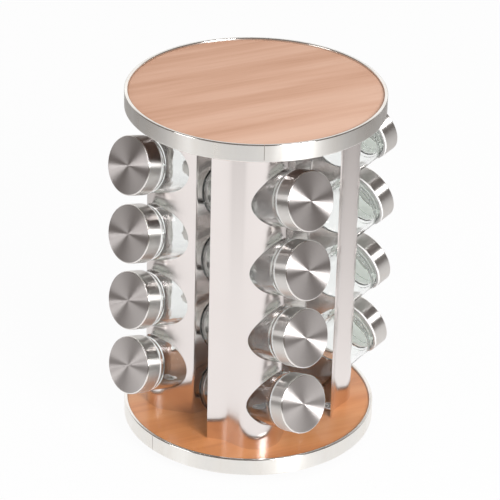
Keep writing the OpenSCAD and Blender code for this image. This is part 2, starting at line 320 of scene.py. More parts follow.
def new_group(name, inputs, outputs):
    """An empty shader node group. Returns it with its input and output nodes."""
    group = bpy.data.node_groups.new(name, "ShaderNodeTree")
    for label, kind in inputs:
        group.interface.new_socket(label, in_out="INPUT", socket_type=f"NodeSocket{kind}")
    for label in outputs:
        group.interface.new_socket(label, in_out="OUTPUT", socket_type="NodeSocketFloat")
    return group, group.nodes.new("NodeGroupInput").outputs, group.nodes.new("NodeGroupOutput").inputs


GROOVES, got, put = new_group(
    "grooves", [("Vector", "Vector"), ("Stretch", "Vector"), ("Fineness", "Float")], ["Fine", "Broad"])
drawn_out = stretched(GROOVES, got["Vector"], got["Stretch"])
link(GROOVES, noise(GROOVES, drawn_out, got["Fineness"], 3.0, 0.6), put["Fine"])
link(GROOVES, noise(GROOVES, drawn_out, sum_node(GROOVES, "MULTIPLY", got["Fineness"], 0.12)), put["Broad"])

HANDLING, got, put = new_group(
    "handling", [("Vector", "Vector"), ("Size", "Float"), ("Contrast", "Float")], ["Clouds"])
clouds = sum_node(HANDLING, "SUBTRACT", noise(HANDLING, got["Vector"], got["Size"], 3.0), 0.5)
clouds = sum_node(HANDLING, "MULTIPLY_ADD", clouds, got["Contrast"], 0.5, clamp=True)
link(HANDLING, clouds, put["Clouds"])
print("effect groups:", GROOVES.name, "and", HANDLING.name)

# %% [markdown]
# Each finish starts from a Principled BSDF. What is the same all over is set straight on its
# sockets, and what varies comes from an effect group. Between sixteen jars and four mirrors light
# bounces very often, and a renderer stops after a dozen times, which would leave black. Surfaces
# there therefore glow a little, but only for rays that have already bounced several times.

# %% Finish helpers
def new_finish(name, **constants):
    """A material whose Principled BSDF has the given constants on its sockets."""
    finish = bpy.data.materials.new(name)
    finish.use_nodes = True
    shader = finish.node_tree.nodes["Principled BSDF"]
    for label, value in constants.items():
        shader.inputs[label.replace("_", " ")].default_value = value
    return finish, finish.node_tree, shader


def effect(tree, group, vector, **values):
    """One of the effect groups, read at vector. Returns its outputs."""
    node = tree.nodes.new("ShaderNodeGroup")
    node.node_tree = group
    feed(tree, node.inputs["Vector"], vector)
    for label, value in values.items():
        node.inputs[label].default_value = value
    return node.outputs


def bump(tree, shader, height, distance, strength):
    """Feeds a height through a Bump node into the shader's normal."""
    node = tree.nodes.new("ShaderNodeBump")
    node.inputs["Distance"].default_value = distance
    node.inputs["Strength"].default_value = strength
    link(tree, height, node.inputs["Height"])
    link(tree, node.outputs["Normal"], shader.inputs["Normal"])


def glow_when_deep(tree, shader, level, start=5.0, full=11.0):
    """Lets a surface give light of its own to rays that have bounced between start and full times."""
    depth = tree.nodes.new("ShaderNodeLightPath").outputs["Ray Depth"]
    shader.inputs["Emission Strength"].default_value = 1.0
    mask = between(tree, depth, 0.0, 1.0, start, full)
    feed(tree, shader.inputs["Emission Color"], blend(tree, mask, (0, 0, 0), level))


def object_place(tree):
    """The Object coordinates of the surface."""
    return tree.nodes.new("ShaderNodeTexCoord").outputs["Object"]


def lay_tangent(tree, shader, uv_map):
    """Lays the shader's tangent along U of a UV map."""
    along = tree.nodes.new("ShaderNodeTangent")
    along.direction_type = "UV_MAP"
    along.uv_map = uv_map
    link(tree, along.outputs["Tangent"], shader.inputs["Tangent"])


print("finish helpers ready")

# %% [markdown]
# The columns are thin sheet with a fine upright grain. The bands are satin nickel, brushed along
# the rim. The caps are spun, which cuts fine rings into the face. Grooves spread a reflection
# across themselves: a spun cap shows two bright fans, a brushed band shows soft upright smears,
# and a column blurs sideways what it mirrors, while the edge of the board stays sharp in it. An
# anisotropic shader does just that, so no fan has to be painted. Where a band or a cap is rolled
# over, the steel is polished, and its edge draws a thin bright or dark line.

# %% Steel finishes
def column_steel():
    """Bright sheet with a fine upright grain, which spreads reflections sideways."""
    finish, tree, shader = new_finish("column_steel", Metallic=1.0, Anisotropic=0.95)
    place = object_place(tree)
    grain = effect(tree, GROOVES, place, Stretch=(1.0, 1.0, 0.015), Fineness=2600.0)
    clouds = effect(tree, HANDLING, place, Size=22.0, Contrast=1.0)["Clouds"]
    feed(tree, shader.inputs["Base Color"], blend(tree, clouds, (0.82, 0.77, 0.755), (0.865, 0.815, 0.805)))
    feed(tree, shader.inputs["Roughness"], between(tree, grain["Fine"], 0.15, 0.20))
    bump(tree, shader, grain["Fine"], 0.000001, 0.2)
    glow_when_deep(tree, shader, (0.04, 0.04, 0.04))
    lay_tangent(tree, shader, "brushed")
    return finish


def band_steel(name, smooth, rough):
    """Satin nickel, brushed round the rim."""
    finish, tree, shader = new_finish(name, Metallic=1.0, Anisotropic=0.9, Anisotropic_Rotation=0.25)
    place = object_place(tree)
    grain = effect(tree, GROOVES, place, Stretch=(0.05, 0.05, 1.0), Fineness=3200.0)
    upright = stretched(tree, place, (1.0, 1.0, 0.25))
    clouds = effect(tree, HANDLING, upright, Size=70.0, Contrast=2.4)["Clouds"]
    feed(tree, shader.inputs["Base Color"], blend(tree, clouds, (0.86, 0.832, 0.79), (1.0, 0.992, 0.968)))
    wear = sum_node(tree, "MULTIPLY_ADD", grain["Fine"], 0.5, sum_node(tree, "MULTIPLY", clouds, 0.5))
    feed(tree, shader.inputs["Roughness"], between(tree, wear, smooth, rough, 0.2, 0.8))
    bump(tree, shader, grain["Fine"], 0.00002, 0.3)
    lay_tangent(tree, shader, "turned")
    return finish


def spun_steel(name, low, high, smooth, rough):
    """Spun steel, whose rings are read from the piece's own "turned" UV map."""
    finish, tree, shader = new_finish(name, Metallic=1.0, Anisotropic=1.0, Anisotropic_Rotation=0.25)
    turned_map = tree.nodes.new("ShaderNodeUVMap")
    turned_map.uv_map = "turned"
    rings = effect(tree, GROOVES, turned_map.outputs["UV"], Stretch=(0.0, 6000.0, 0.0), Fineness=1.0)
    clouds = effect(tree, HANDLING, object_place(tree), Size=55.0, Contrast=1.2)["Clouds"]
    tone = sum_node(tree, "MULTIPLY_ADD", rings["Fine"], 0.6, sum_node(tree, "MULTIPLY", clouds, 0.4))
    feed(tree, shader.inputs["Base Color"], blend(tree, tone, low, high))
    feed(tree, shader.inputs["Roughness"], between(tree, rings["Broad"], smooth, rough, 0.3, 0.7))
    bump(tree, shader, rings["Fine"], 0.00001, 0.2)
    lay_tangent(tree, shader, "turned")
    return finish


COLUMN_STEEL = column_steel()
BAND_STEEL = band_steel("band_steel", 0.25, 0.38)
BAND_ROUND = band_steel("band_round_steel", 0.13, 0.20)
CAP_FACE = spun_steel("cap_face_steel", (0.62, 0.58, 0.565), (0.86, 0.82, 0.81), 0.40, 0.46)
CAP_SIDE = spun_steel("cap_side_steel", (0.66, 0.64, 0.62), (0.82, 0.80, 0.78), 0.28, 0.36)
CAP_ROUND = spun_steel("cap_round_steel", (0.88, 0.86, 0.84), (0.98, 0.96, 0.94), 0.22, 0.28)
STEELS = (COLUMN_STEEL, BAND_STEEL, BAND_ROUND, CAP_FACE, CAP_SIDE, CAP_ROUND)
print("steel finishes:", *(steel.name for steel in STEELS))

# %% [markdown]
# The boards are covered with a pale veneer. Its streaks run across the rack, a little askew: wide
# soft ones and fine ones, with long pores in between, and a clear lacquer gives a soft sheen. The
# streaks are noise again, drawn out in one direction and turned by the angle at which the grain
# lies. A slope of painted light makes a board lighter on one side, as if the lamps lit it more
# there. The lower board has a glossier lacquer, and its warmer, darker tones are painted shade and
# painted bounce light from under the top board. At the band a thin dark ring of painted shade stands
# for the shadow in the gap, and that thin line shows again in the columns as a mirror image. Below,
# a board's underside is painted darker as shade: the brown that the caps under the top board mirror.

# %% Veneer
GRAIN_TURN = math.radians(26)
WIDE_SHARE = 0.74
STREAK_STOPS = (0.29, 0.49, 0.69)
PORE_SHADE = (0.78, 0.70, 0.64)
# Painted shade: a dark tint laid on the rim's gap and on the underside of a board.
SHADE_TINT = (0.20, 0.17, 0.16)
UNDERSIDE_SHADE_REACH = 0.0002          # metres above the underside that the painted shade covers
RIM_SHADOW_LINE = (0.0915, 0.0928)          # metres from the middle: where the dark line starts and is full


def veneer(name, board, lacquer, gloss, light_slope, dark, mid, light):
    """Straight-grained veneer on a board, with its streaks between three tones.

    The lacquer has a roughness and a gloss. A slope of painted light makes the sheet lighter at
    the front right, or darker there when the slope is negative. A thin ring of painted shade
    darkens the rim, and the underside is painted darker as shade.
    """
    finish, tree, shader = new_finish(
        name, Coat_Weight=gloss, Coat_Roughness=lacquer, Specular_IOR_Level=gloss)
    turn = tree.nodes.new("ShaderNodeMapping")
    turn.vector_type = "TEXTURE"
    turn.inputs["Rotation"].default_value[2] = GRAIN_TURN
    link(tree, object_place(tree), turn.inputs["Vector"])
    along = turn.outputs["Vector"]
    wide = noise(tree, stretched(tree, along, (0.10, 1.0, 1.0)), 48.0, 3.0, 0.5)
    fine = noise(tree, stretched(tree, along, (0.03, 1.0, 1.0)), 260.0, 4.0, 0.6)
    fine = sum_node(tree, "MULTIPLY", fine, 1 - WIDE_SHARE)
    streaks = sum_node(tree, "MULTIPLY_ADD", wide, WIDE_SHARE, fine)
    spot = tree.nodes.new("ShaderNodeSeparateXYZ")
    link(tree, object_place(tree), spot.inputs[0])
    # Painted light: the tone leans lighter towards one side, as if the lamps lit it more there.
    sideways = sum_node(tree, "SUBTRACT", spot.outputs["X"], spot.outputs["Y"])
    streaks = sum_node(tree, "MULTIPLY_ADD", sideways, light_slope, streaks)
    tone = ramp(tree, streaks, list(zip(STREAK_STOPS, (dark, mid, light))))
    pores = effect(tree, GROOVES, along, Stretch=(0.02, 1.0, 1.0), Fineness=1500.0)["Fine"]
    dark_pores = between(tree, pores, 0.0, 0.55, 0.56, 0.80)
    wood = blend(tree, dark_pores, tone, stretched(tree, tone, PORE_SHADE))
    radius = tree.nodes.new("ShaderNodeVectorMath")
    radius.operation = "LENGTH"
    link(tree, stretched(tree, object_place(tree), (1.0, 1.0, 0.0)), radius.inputs[0])
    # Painted shade: a thin dark ring at the rim stands for the shadow in the gap under the band's lip.
    gap_shadow = between(tree, radius.outputs["Value"], 0.0, 0.85, *RIM_SHADOW_LINE)
    wood = blend(tree, gap_shadow, wood, stretched(tree, wood, SHADE_TINT))
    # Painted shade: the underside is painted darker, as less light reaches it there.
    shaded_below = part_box(board)[0].z + UNDERSIDE_SHADE_REACH
    above = between(tree, spot.outputs["Z"], 0.0, 1.0, shaded_below, shaded_below + UNDERSIDE_SHADE_REACH)
    feed(tree, shader.inputs["Base Color"], blend(tree, above, stretched(tree, wood, SHADE_TINT), wood))
    feed(tree, shader.inputs["Roughness"], between(tree, pores, lacquer + 0.22, lacquer + 0.34))
    bump(tree, shader, pores, 0.00003, 0.3)
    return finish


TOP_TONES = (0.645, 0.360, 0.238), (0.765, 0.460, 0.325), (0.845, 0.545, 0.405)
# Painted shade: the lower board's warmer, darker tones stand for the shade and warm bounce light under the
# top board.
BASE_SHADED_TONES = (0.60, 0.205, 0.064), (0.75, 0.297, 0.104), (0.83, 0.380, 0.158)
TOP_VENEER = veneer("top_veneer", "top_board", 0.40, 0.1, 0.9, *TOP_TONES)          # satin
BASE_VENEER = veneer("base_veneer", "base_board", 0.12, 0.6, -0.5, *BASE_SHADED_TONES)          # glossy
print("finishes:", TOP_VENEER.name, BASE_VENEER.name)

# %% [markdown]
# The glass is clear with a faint grey-green tint, which shows where it is thick. Pressed glass
# is never quite even, so its walls get slow, shallow waves. Plastic, small steel parts and the
# matt cut edges of the sheet get a little cloudiness and a moulded, plated or torn texture. The
# liners also glow for rays that come through a jar, because their light reaches them that way.

# %% Glass, plastic and small steel parts
def clear_glass():
    """Pressed glass with a faint tint and slightly wavy walls."""
    finish, tree, shader = new_finish("clear_glass", Transmission_Weight=1.0, IOR=1.46, Roughness=0.0)
    waves = effect(tree, HANDLING, object_place(tree), Size=90.0, Contrast=1.0)["Clouds"]
    feed(tree, shader.inputs["Base Color"], blend(tree, waves, (0.965, 0.975, 0.968), (0.99, 0.995, 0.99)))
    bump(tree, shader, waves, 0.0002, 0.7)
    glow_when_deep(tree, shader, (0.02, 0.02, 0.02))
    return finish


def mottled(name, dark, light, smooth, rough, size, metallic=0.0):
    """A plain surface with cloudy variation of a given size, for plastic and plated parts."""
    finish, tree, shader = new_finish(name, Metallic=metallic)
    place = object_place(tree)
    clouds = effect(tree, HANDLING, place, Size=size, Contrast=1.4)["Clouds"]
    feed(tree, shader.inputs["Base Color"], blend(tree, clouds, dark, light))
    feed(tree, shader.inputs["Roughness"], between(tree, clouds, smooth, rough))
    bump(tree, shader, noise(tree, place, 20 * size), 0.00001, 0.5)
    return finish


GLASS = clear_glass()
LINER_WHITE = mottled("liner_white", (0.90, 0.895, 0.88), (0.96, 0.955, 0.945), 0.25, 0.38, 60.0)
liner_tree = LINER_WHITE.node_tree
glow_when_deep(liner_tree, liner_tree.nodes["Principled BSDF"], (0.32, 0.345, 0.32), 1.0, 4.0)
CUT_EDGE = mottled("cut_edge", (0.74, 0.73, 0.72), (0.90, 0.89, 0.88), 0.30, 0.45, 140.0, 0.3)
DARK_PLASTIC = mottled("dark_plastic", (0.022, 0.022, 0.024), (0.038, 0.038, 0.040), 0.45, 0.62, 110.0)
SCREW_STEEL = mottled("screw_steel", (0.60, 0.59, 0.58), (0.80, 0.79, 0.78), 0.14, 0.28, 240.0, 1.0)
BALL_STEEL = mottled("ball_steel", (0.66, 0.66, 0.66), (0.82, 0.82, 0.82), 0.05, 0.12, 200.0, 1.0)
PLAIN = (GLASS, LINER_WHITE, CUT_EDGE, DARK_PLASTIC, SCREW_STEEL, BALL_STEEL)
print("finishes:", *(finish.name for finish in PLAIN))

# %% [markdown]
# Caps, jars, liners and screws are turned shapes. On a lathe one would cut a profile. Here a
# ring of points is added, then extruded and scaled ring by ring along that same profile. This
# keeps even rows of faces all round. Glass bends light by the shading normals, so these matter as
# much as the shape: weighted normals keep a long straight wall from shading like a lens.

# %% Turning helper
MM = 0.001
SIDES = 96
TURN = 2 * math.pi


def corner(middle_r, middle_z, radius, start, end, steps=6):
    """Points (radius, height) of a rounded corner of a profile. Angles are in degrees."""
    angles = [math.radians(start + (end - start) * i / steps) for i in range(steps + 1)]
    return [(middle_r + radius * math.cos(a), middle_z + radius * math.sin(a)) for a in angles]


def pick(piece):
    """Selects piece alone and makes it active."""
    clear_selection()
    piece.select_set(True)
    bpy.context.view_layer.objects.active = piece


def edit(piece):
    """Opens piece in edit mode with everything selected."""
    pick(piece)
    bpy.ops.object.mode_set(mode="EDIT")
    bpy.ops.mesh.select_all(action="SELECT")


def close_ends(piece):
    """Closes every open ring of piece with a fan of triangles, and turns all faces outwards."""
    edit(piece)
    bpy.ops.mesh.select_mode(type="EDGE")
    bpy.ops.mesh.select_all(action="DESELECT")
    bpy.ops.mesh.select_non_manifold(extend=False)
    bpy.ops.mesh.fill_holes(sides=0)
    bpy.ops.mesh.select_mode(type="FACE")
    bpy.ops.mesh.select_all(action="DESELECT")
    bpy.ops.mesh.select_face_by_sides(number=4, type="GREATER")
    bpy.ops.mesh.poke()
    bpy.ops.mesh.select_all(action="SELECT")
    bpy.ops.mesh.normals_make_consistent(inside=False)
    bpy.ops.mesh.select_mode(type="VERT")
    bpy.ops.object.mode_set(mode="OBJECT")


def apply_modifier(piece, kind, **settings):
    """Adds a modifier with the given settings and applies it."""
    pick(piece)
    modifier = piece.modifiers.new(kind.lower(), kind)
    for label, value in settings.items():
        setattr(modifier, label, value)
    bpy.ops.object.modifier_apply(modifier=modifier.name)


def smooth(piece, degrees):
    """Shades piece smooth, except across edges sharper than an angle, and keeps its flats flat."""
    pick(piece)
    bpy.ops.object.shade_smooth_by_angle(angle=math.radians(degrees))
    apply_modifier(piece, "WEIGHTED_NORMAL", keep_sharp=True)


def turned(name, profile, sides=SIDES):
    """A closed piece turned round Z from a profile of (radius, height) points."""
    clear_selection()
    radius, height = profile[0]
    bpy.ops.mesh.primitive_circle_add(vertices=sides, radius=radius)
    piece = bpy.context.object
    piece.name = name
    edit(piece)
    bpy.ops.transform.translate(value=(0, 0, height))
    for wider, higher in profile[1:]:
        rise = {"value": (0, 0, higher - height)}
        bpy.ops.mesh.extrude_region_move(TRANSFORM_OT_translate=rise)
        scale = wider / radius
        bpy.ops.transform.resize(value=(scale, scale, 1), center_override=(0, 0, 0))
        radius, height = wider, higher
    close_ends(piece)
    smooth(piece, 35)
    return piece


print("pieces are turned with", SIDES, "sides")

# %% [markdown]
# Most pieces are modelled once and copied. Each copy gets its own mesh, and the place goes into
# the mesh itself, so every object stays at the origin.

# %% Copying and joining helpers
def combine(piece, other, operation):
    """Unites piece with other, or cuts other out of it. The other piece is used up."""
    apply_modifier(piece, "BOOLEAN", operation=operation, object=other, solver="EXACT")
    bpy.data.objects.remove(other)


def copy_of(master, name, matrix):
    """A copy with its own mesh, moved by matrix."""
    piece = bpy.data.objects.new(name, master.data.copy())
    piece.data.name = name
    piece.data.transform(matrix)
    bpy.context.scene.collection.objects.link(piece)
    return piece


def join(pieces, name):
    """Joins pieces into one."""
    clear_selection()
    for piece in pieces:
        piece.select_set(True)
    bpy.context.view_layer.objects.active = pieces[0]
    bpy.ops.object.join()
    pieces[0].name = name
    return pieces[0]


def dress(piece, finishes, which=None):
    """Gives piece its finishes. Where it has several, which(face) tells the number of a face's own."""
    piece.data.materials.clear()
    for finish in finishes:
        piece.data.materials.append(finish)
    if which:
        for face in piece.data.polygons:
            face.material_index = int(which(face))


def install(piece, body, node):
    """Puts a piece in the place of a part of the frame."""
    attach(piece, body)
    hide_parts(node)


print("copying helpers ready")

# %% [markdown]
# Every jar lies on its own tilted centre line. The line's direction is the axis of the joint
# along which the jar is drawn out, and its place is read from the jar's own solid: the middle
# of its reach in two directions square to the axis.

# %% Centre lines of the jars
def jar_line(code):
    """(matrix, length): the matrix takes +Z to the jar's axis and the origin to its bottom."""
    axis = AXES[f"jar_{code}_slide"].normalized()
    side = Vector((0, 0, 1)).cross(axis).normalized()
    up = axis.cross(side)
    points = [vertex.co for vertex in frame["nodes"][f"jar_{code}"].data.vertices]
    reach = [[point.dot(way) for point in points] for way in (side, up, axis)]
    middle = [(min(r) + max(r)) / 2 for r in reach]
    low, high = min(reach[2]), max(reach[2])
    origin = side * middle[0] + up * middle[1] + axis * low
    turn = Matrix((side, up, axis)).transposed().to_4x4()
    return Matrix.Translation(origin) @ turn, high - low


COLUMN_CODES = "abcd"
ROWS = (1, 2, 3, 4)
JARS = [f"{column}{row}" for column in COLUMN_CODES for row in ROWS]
LINES = {code: jar_line(code)[0] for code in JARS}
JAR_HEIGHT = jar_line("a1")[1]
print("jar height", round(JAR_HEIGHT / MM, 2), "mm")

# %% [markdown]
# A pressed jar has a rounded heel, a ring to stand on round a slightly hollow bottom, straight
# walls, a short shoulder and a threaded neck. The inside is one continuous surface with the
# outside, so the glass has real walls and bends light as glass does.

# %% Jar body
GLASS_R = 20.5 * MM
GLASS_WALL = 2.2 * MM
GLASS_BOTTOM = 4.0 * MM
HEEL_R = 3.0 * MM
PUNT_R = 14.0 * MM
PUNT_RISE = 0.8 * MM
NECK_R = 18.6 * MM
NECK_LEN = 12.2 * MM
SHOULDER = 3.0 * MM
RIM_R = 0.7 * MM
AXIS_R = 1.5 * MM


def jar_profile():
    """Outline of the jar from the middle of its bottom, up the outside and down the inside."""
    shoulder_z = JAR_HEIGHT - NECK_LEN - SHOULDER
    bulge = SHOULDER / 2
    inner = GLASS_R - GLASS_WALL
    neck_in = NECK_R - GLASS_WALL
    points = [(AXIS_R, PUNT_RISE), (PUNT_R - 3 * MM, PUNT_RISE)]
    points += [(PUNT_R - 1 * MM, PUNT_RISE / 3), (PUNT_R, 0.0)]
    points += corner(GLASS_R - HEEL_R, HEEL_R, HEEL_R, -90, 0, 8)
    points += corner(GLASS_R - bulge, shoulder_z, bulge, 0, 80, 6)
    points += [(NECK_R + 0.1 * MM, shoulder_z + bulge + 0.1 * MM), (NECK_R, shoulder_z + bulge + 0.4 * MM)]
    points += corner(NECK_R - RIM_R, JAR_HEIGHT - RIM_R, RIM_R, 0, 90, 4)
    points += corner(neck_in + RIM_R, JAR_HEIGHT - RIM_R, RIM_R, 90, 180, 4)
    points += [(neck_in, shoulder_z + 0.5 * MM), (neck_in + 0.4 * MM, shoulder_z - 0.3 * MM)]
    points += [(inner - 0.4 * MM, shoulder_z - SHOULDER + 0.7 * MM), (inner, shoulder_z - SHOULDER)]
    points += corner(inner - HEEL_R, GLASS_BOTTOM + HEEL_R, HEEL_R, 0, -90, 8)
    return points + [(AXIS_R, GLASS_BOTTOM)]


jar_master = turned("jar_master", jar_profile())
print("jar body:", len(jar_master.data.polygons), "faces")

# %% [markdown]
# The thread is a small ridge that climbs round the neck. A Screw modifier turns a flattened
# ring of points round the neck and lifts it at the same time, and a union melts it into the
# glass. It only shows when a cap is taken off.

# %% Thread on the neck
THREAD_TURNS = 1.25
THREAD_PITCH = 3.2 * MM
THREAD_FOOT = 9.8 * MM
THREAD_OUT = 0.5 * MM
THREAD_HALF = 0.9 * MM
THREAD_STEPS = 90


def neck_thread():
    """A ridge that climbs round the neck."""
    clear_selection()
    bpy.ops.mesh.primitive_circle_add(vertices=8, radius=THREAD_HALF)
    ridge = bpy.context.object
    upright = Matrix.Rotation(RIGHT_ANGLE, 4, "X") @ Matrix.Diagonal((THREAD_OUT / THREAD_HALF, 1, 1, 1))
    ridge.data.transform(Matrix.Translation((NECK_R, 0, JAR_HEIGHT - THREAD_FOOT)) @ upright)
    apply_modifier(ridge, "SCREW", angle=TURN * THREAD_TURNS, screw_offset=THREAD_PITCH * THREAD_TURNS,
                   steps=THREAD_STEPS, render_steps=THREAD_STEPS)
    close_ends(ridge)
    return ridge


combine(jar_master, neck_thread(), "UNION")
smooth(jar_master, 35)
dress(jar_master, [GLASS])
for code in JARS:
    install(copy_of(jar_master, f"glass_jar_{code}", LINES[code]), f"jar_{code}", f"jar_{code}")
print(len(JARS), "jars with", len(jar_master.data.polygons), "faces each")
bpy.data.objects.remove(jar_master)

# %% [markdown]
# A cap is a shallow cup of thin steel. Its face, its side and the round edge between them take
# different finishes, so each face of the mesh is given one of three material slots by the
# direction it looks in. The "turned" UV map runs round the axis in U and along the profile in V,
# and the finishes read their grooves from it.

# %% Cap
CAP_R = 21.7 * MM
CAP_DEPTH = 12.2 * MM
CAP_SHEET = 0.5 * MM
CAP_EDGE = 1.0 * MM
MOUTH_GAP = 0.2 * MM
LINER_DISC = 1.0 * MM
CAP_TOP = JAR_HEIGHT + MOUTH_GAP + LINER_DISC + CAP_SHEET
FLAT = 0.7
STEEP, LEVEL = 0.15, 0.985


def add_turned_map(piece):
    """UV map "turned": U is the turn round the axis, V runs along the profile in metres."""
    layer = piece.data.uv_layers.new(name="turned")
    for face in piece.data.polygons:
        middle = math.atan2(face.center.y, face.center.x)
        for index in face.loop_indices:
            point = piece.data.vertices[piece.data.loops[index].vertex_index].co
            angle = math.atan2(point.y, point.x) if point.xy.length > 0.01 * MM else middle
            angle += TURN * round((middle - angle) / TURN)
            along = point.xy.length if abs(face.normal.z) > FLAT else point.z
            layer.data[index].uv = (angle / TURN, along)


def cap_profile():
    """Outline of the steel cup, from the middle of its face, over the edge and back inside."""
    inner = CAP_R - CAP_SHEET
    foot = CAP_TOP - CAP_DEPTH
    points = [(radius * MM, CAP_TOP) for radius in (1, 4, 8, 12, 16, 19)]
    points += corner(CAP_R - CAP_EDGE, CAP_TOP - CAP_EDGE, CAP_EDGE, 90, 0, 8)
    points += [(CAP_R, foot + 0.2 * MM), (CAP_R - 0.15 * MM, foot), (inner, foot)]
    points += corner(inner - CAP_EDGE / 2, CAP_TOP - CAP_SHEET - CAP_EDGE / 2, CAP_EDGE / 2, 0, 90, 4)
    return points + [(1 * MM, CAP_TOP - CAP_SHEET)]


def cap_finish_of(face):
    """0 for the cap's face, 1 for its side and its inside, 2 for the round edge."""
    if STEEP < face.normal.z < LEVEL:
        return 2
    return 0 if face.normal.z > FLAT else 1


cap_master = turned("cap_master", cap_profile())
add_turned_map(cap_master)
dress(cap_master, [CAP_FACE, CAP_SIDE, CAP_ROUND], cap_finish_of)
spin = random.Random(7)
for code in JARS:
    own_turn = Matrix.Rotation(spin.uniform(0, TURN), 4, "Z")
    cap = copy_of(cap_master, f"steel_cap_{code}", LINES[code] @ own_turn)
    install(cap, f"cap_{code}", f"cap_{code}")
print(len(JARS), "caps with", len(cap_master.data.polygons), "faces each")
bpy.data.objects.remove(cap_master)

# %% [markdown]
# Inside each cap sits a white plastic liner. It seals the mouth with a disc and grips the neck
# with a skirt, whose end stands out as a white ring, flush with the steel, at the cap's open edge.

# %% Liner
LINER_OUT = 1.3 * MM
LINER_SKIRT = 1.8 * MM
LINER_FIT = 0.05 * MM
LINER_ROUND = 0.3 * MM
LINER_FLUSH = 0.1 * MM


def liner_profile():
    """Outline of the liner: a disc with a skirt."""
    outer = CAP_R - CAP_SHEET - LINER_FIT
    inner = outer - LINER_SKIRT
    top = CAP_TOP - CAP_SHEET
    foot = CAP_TOP - CAP_DEPTH - LINER_OUT
    flange = CAP_R - LINER_FLUSH
    seat = CAP_TOP - CAP_DEPTH - LINER_FIT
    points = [(AXIS_R, top), (outer - CAP_EDGE, top), (outer, top - CAP_EDGE), (outer, seat), (flange, seat)]
    points += corner(flange - LINER_ROUND, foot + LINER_ROUND, LINER_ROUND, 0, -90, 4)
    points += corner(inner + LINER_ROUND, foot + LINER_ROUND, LINER_ROUND, -90, -180, 4)
    return points + [(inner, top - LINER_DISC), (AXIS_R, top - LINER_DISC)]


liner_master = turned("liner_master", liner_profile())
dress(liner_master, [LINER_WHITE])
for code in JARS:
    liner = copy_of(liner_master, f"cap_liner_{code}", LINES[code])
    install(liner, f"cap_{code}", f"liner_{code}")
print(len(JARS), "liners with", len(liner_master.data.polygons), "faces each")
bpy.data.objects.remove(liner_master)

# %% [markdown]
# A column is one strip of sheet, bent three times. In plan its outer face runs from the free
# edge through a hollow curve and a short flat to the rounded nose, then along the side wall,
# round a tight bend and along the panel. The hollow curve and the nose get one point for every
# degree and the tight bend one for every three, because a near-mirror shows every facet.

# %% Outline of the sheet in plan
SHEET = 1.0 * MM
NOSE = Vector((5.3 * MM, -58.0 * MM))
NOSE_R = 20.0 * MM
NOSE_TO_FLANGE = 37
NOSE_TO_WALL = 77
FLANGE_LEN = 10.0 * MM
CURL_R = 20.0 * MM
CURL_TURN = 28
EDGE_LEN = 6.5 * MM
WALL_LEN = 20.0 * MM
BEND_R = 4.0 * MM
BEND_TURN = 49
PANEL_STOP = 9.0 * MM


def heading(degrees):
    """Unit vector in plan."""
    return Vector((math.cos(math.radians(degrees)), math.sin(math.radians(degrees))))


def arc(middle, radius, start, end, step=1.0):
    """Points along an arc in plan, at most step degrees apart."""
    count = math.ceil(abs(end - start) / step)
    return [middle + radius * heading(start + (end - start) * i / count) for i in range(count + 1)]


def on_panel(distance):
    """Point of the panel's outer face at a distance from the turning axis."""
    return BEND_END - (BEND_END.dot(heading(PANEL_WAY)) + distance) * heading(PANEL_WAY)


FLANGE_WAY = -180 - NOSE_TO_FLANGE
CURL_WAY = FLANGE_WAY + CURL_TURN
PANEL_WAY = NOSE_TO_WALL + BEND_TURN
CURL_START = NOSE + NOSE_R * heading(FLANGE_WAY + 90) + FLANGE_LEN * heading(FLANGE_WAY)
CURL = CURL_START + CURL_R * heading(FLANGE_WAY + 90)
BEND_START = NOSE + NOSE_R * heading(NOSE_TO_WALL - 90) + WALL_LEN * heading(NOSE_TO_WALL)
BEND = BEND_START + BEND_R * heading(NOSE_TO_WALL + 90)
BEND_END = BEND + BEND_R * heading(PANEL_WAY - 90)
OUTLINE = [CURL + CURL_R * heading(CURL_WAY - 90) + EDGE_LEN * heading(CURL_WAY)]
OUTLINE += arc(CURL, CURL_R, CURL_WAY - 90, FLANGE_WAY - 90)
OUTLINE += arc(NOSE, NOSE_R, -90 - NOSE_TO_FLANGE, NOSE_TO_WALL - 90)
OUTLINE += arc(BEND, BEND_R, NOSE_TO_WALL - 90, PANEL_WAY - 90, 3.0)
OUTLINE += [on_panel(PANEL_STOP)]
ends = [[round(v / MM, 2) for v in end] for end in (OUTLINE[0], OUTLINE[-1])]
print("outline of", len(OUTLINE), "points, ends in mm:", ends)

# %% [markdown]
# The modelling follows the bending: one point is extruded along the outline, the line is
# extruded upwards, and Solidify gives the sheet its thickness inwards. Slanted cylinders on the
# jars' own centre lines then cut the four holes. They lie a little above the centre lines,
# because a jar rests on the lower edge of its hole. A small bevel breaks every edge, as on real
# sheet, and it is what catches the light round the holes.

# %% Bent sheet with its holes
HOLE_R = 21.2 * MM
HOLE_LIFT = 0.4 * MM
HOLE_FROM = 17.9 * MM
HOLE_LEN = 95.5 * MM
HOLE_SIDES = 160
EDGE_BREAK = 0.2 * MM
BREAK_OVER = math.radians(50)
COLUMN_LOW, COLUMN_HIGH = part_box("column_a")


def single_point(x, y, z):
    """A mesh of one point, made by merging a small plane, open in edit mode."""
    clear_selection()
    bpy.ops.mesh.primitive_plane_add(size=SHEET)
    piece = bpy.context.object
    edit(piece)
    bpy.ops.mesh.merge(type="CENTER")
    bpy.ops.transform.translate(value=(x, y, z))
    return piece


def extrude_by(x, y, z):
    """Extrudes what is selected."""
    bpy.ops.mesh.extrude_region_move(TRANSFORM_OT_translate={"value": (x, y, z)})


